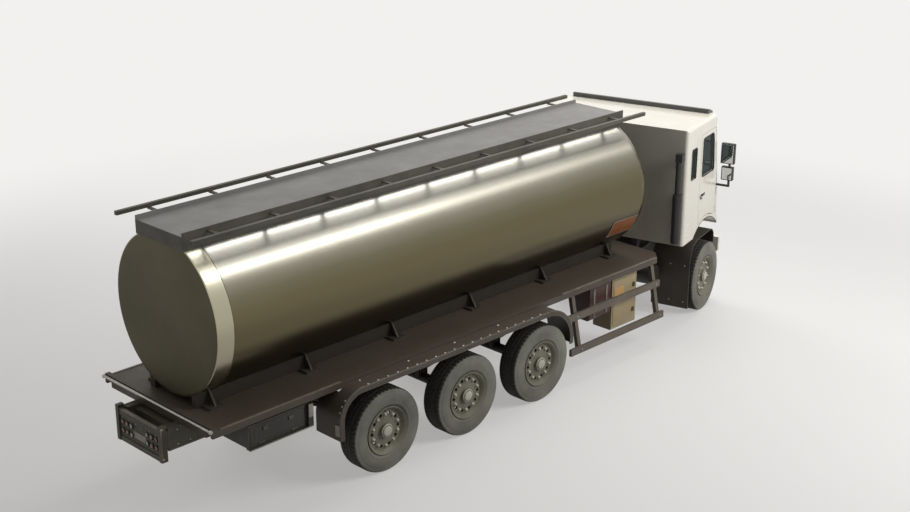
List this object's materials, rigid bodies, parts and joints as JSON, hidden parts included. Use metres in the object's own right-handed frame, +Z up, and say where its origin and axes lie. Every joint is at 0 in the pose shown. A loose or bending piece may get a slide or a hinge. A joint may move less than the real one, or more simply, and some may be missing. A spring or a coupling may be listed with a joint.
{
  "type": "articulated tanker truck",
  "caption": "Articulated tanker: hollow cab unit with steered wheels, hinged to a three-axle tank unit with round steel tank, deck and walkway.",
  "frame": {"origin": "on the ground, under the middle of the whole vehicle's box as it stands with its cab turned 15 degrees left", "axes": "+X forward along the tank unit, +Y to its left, +Z up"},
  "size_m": [9.9798, 3.0883, 3.29],
  "materials": {
    "brown_paint": "dull brown paint",
    "cast_iron": "as cast",
    "cream_paint": "gloss paint",
    "dark_paint": "dark paint",
    "dark_plastic": "moulded",
    "dark_steel": "dark chassis paint",
    "glass": "tinted glass",
    "green_grey_paint": "satin paint",
    "grip_plate": "plain grey tread plate",
    "lamp_clear": "clear moulded lens",
    "lamp_red": "moulded lens",
    "machined_steel": "machined and greased",
    "maroon_paint": "satin paint",
    "rim_paint": "dull grey paint",
    "seat_fabric": "woven cloth",
    "stainless": "brushed stainless sheet",
    "tan_paint": "satin paint",
    "tyre": "worn rubber"
  },
  "bodies": {
    "tank_unit": {"tank": "stainless", "tank_saddles": "dark_steel", "walkway": "grip_plate", "walkway_rails": "dark_steel", "tank_frame": "dark_steel", "deck": "brown_paint", "wheel_guards": "brown_paint", "lamp_panel": "dark_paint", "tail_lamps": "lamp_red", "side_guards": "brown_paint", "tool_boxes": "green_grey_paint", "discharge_pipes": "stainless", "equipment_box": "tan_paint", "hose_box": "maroon_paint", "hitch_pin": "machined_steel", "rear_axles": "dark_steel", "rear_springs": "dark_steel"},
    "tool_door_right": {"tool_door_right": "green_grey_paint"},
    "tool_door_left": {"tool_door_left": "green_grey_paint"},
    "cab_unit": {"hitch_ring": "machined_steel", "front_frame": "dark_steel", "air_tanks": "dark_paint", "engine_block": "cast_iron", "front_axle": "dark_steel", "front_springs": "dark_steel", "cab_shell": "cream_paint", "cab_glass": "glass", "seats": "seat_fabric", "dashboard": "dark_plastic", "steering_wheel": "dark_plastic", "bumper": "cream_paint", "grille": "dark_plastic", "headlamps": "lamp_clear", "sun_visor": "dark_plastic", "mirrors": "dark_plastic", "intake_pipe": "dark_plastic", "front_fenders": "dark_plastic"},
    "door_right": {"door_right": "cream_paint", "door_glass_right": "glass"},
    "door_left": {"door_left": "cream_paint", "door_glass_left": "glass"},
    "knuckle_right": {"knuckle_right": "cast_iron"},
    "knuckle_left": {"knuckle_left": "cast_iron"},
    "tie_rod": {"tie_rod": "machined_steel"},
    "wheel_rear_1_right": {"rim_rear_1_right": "rim_paint", "tyre_rear_1_right": "tyre"},
    "wheel_rear_1_left": {"rim_rear_1_left": "rim_paint", "tyre_rear_1_left": "tyre"},
    "wheel_rear_2_right": {"rim_rear_2_right": "rim_paint", "tyre_rear_2_right": "tyre"},
    "wheel_rear_2_left": {"rim_rear_2_left": "rim_paint", "tyre_rear_2_left": "tyre"},
    "wheel_rear_3_right": {"rim_rear_3_right": "rim_paint", "tyre_rear_3_right": "tyre"},
    "wheel_rear_3_left": {"rim_rear_3_left": "rim_paint", "tyre_rear_3_left": "tyre"},
    "wheel_front_right": {"rim_front_right": "rim_paint", "tyre_front_right": "tyre"},
    "wheel_front_left": {"rim_front_left": "rim_paint", "tyre_front_left": "tyre"}
  },
  "joints": [
    {"name": "articulation", "type": "hinge", "parent": "tank_unit", "child": "cab_unit", "pos_m": [2.71, -0.312, 0.975], "axis": [0, 0, 1], "range_deg": [-43, 13]},
    {"name": "spin_rear_1_right", "type": "hinge", "parent": "tank_unit", "child": "wheel_rear_1_right", "pos_m": [0.28, -1.537, 0.52], "axis": [0, 1, 0], "continuous": true},
    {"name": "spin_rear_1_left", "type": "hinge", "parent": "tank_unit", "child": "wheel_rear_1_left", "pos_m": [0.28, 0.913, 0.52], "axis": [0, 1, 0], "continuous": true},
    {"name": "spin_rear_2_right", "type": "hinge", "parent": "tank_unit", "child": "wheel_rear_2_right", "pos_m": [-1.065, -1.537, 0.52], "axis": [0, 1, 0], "continuous": true},
    {"name": "spin_rear_2_left", "type": "hinge", "parent": "tank_unit", "child": "wheel_rear_2_left", "pos_m": [-1.065, 0.913, 0.52], "axis": [0, 1, 0], "continuous": true},
    {"name": "spin_rear_3_right", "type": "hinge", "parent": "tank_unit", "child": "wheel_rear_3_right", "pos_m": [-2.41, -1.537, 0.52], "axis": [0, 1, 0], "continuous": true},
    {"name": "spin_rear_3_left", "type": "hinge", "parent": "tank_unit", "child": "wheel_rear_3_left", "pos_m": [-2.41, 0.913, 0.52], "axis": [0, 1, 0], "continuous": true},
    {"name": "steer_right", "type": "hinge", "parent": "cab_unit", "child": "knuckle_right", "pos_m": [4.33974, -0.86918, 0.52], "axis": [0, 0, 1], "range_deg": [-24, 24]},
    {"name": "spin_front_right", "type": "hinge", "parent": "knuckle_right", "child": "wheel_front_right", "pos_m": [4.40833, -1.12515, 0.52], "axis": [-0.2588, 0.9659, 0], "continuous": true},
    {"name": "steer_left", "type": "hinge", "parent": "cab_unit", "child": "knuckle_left", "pos_m": [3.84281, 0.9854, 0.52], "axis": [0, 0, 1], "range_deg": [-24, 24]},
    {"name": "spin_front_left", "type": "hinge", "parent": "knuckle_left", "child": "wheel_front_left", "pos_m": [3.77422, 1.24137, 0.52], "axis": [-0.2588, 0.9659, 0], "continuous": true},
    {"name": "tie_rod_slide", "type": "slide", "parent": "cab_unit", "child": "tie_rod", "axis": [-0.2588, 0.9659, 0], "range_m": [-0.0635, 0.0635]},
    {"name": "door_right_hinge", "type": "hinge", "parent": "cab_unit", "child": "door_right", "pos_m": [4.68068, -1.02111, 1.95], "axis": [0, 0, 1], "range_deg": [0, 70]},
    {"name": "door_left_hinge", "type": "hinge", "parent": "cab_unit", "child": "door_left", "pos_m": [4.0621, 1.28745, 1.95], "axis": [0, 0, -1], "range_deg": [0, 70]},
    {"name": "tool_door_right_hinge", "type": "hinge", "parent": "tank_unit", "child": "tool_door_right", "pos_m": [-3.85, -1.317, 0.9053], "axis": [1, 0, 0], "range_deg": [0, 100]},
    {"name": "tool_door_left_hinge", "type": "hinge", "parent": "tank_unit", "child": "tool_door_left", "pos_m": [-3.85, 0.693, 0.9053], "axis": [-1, 0, 0], "range_deg": [0, 100]}
  ],
  "couplings": [
    {"joint": "steer_left", "follows": "steer_right", "ratio": 1},
    {"joint": "tie_rod_slide", "follows": "steer_right", "m_per_rad": -0.15}
  ]
}
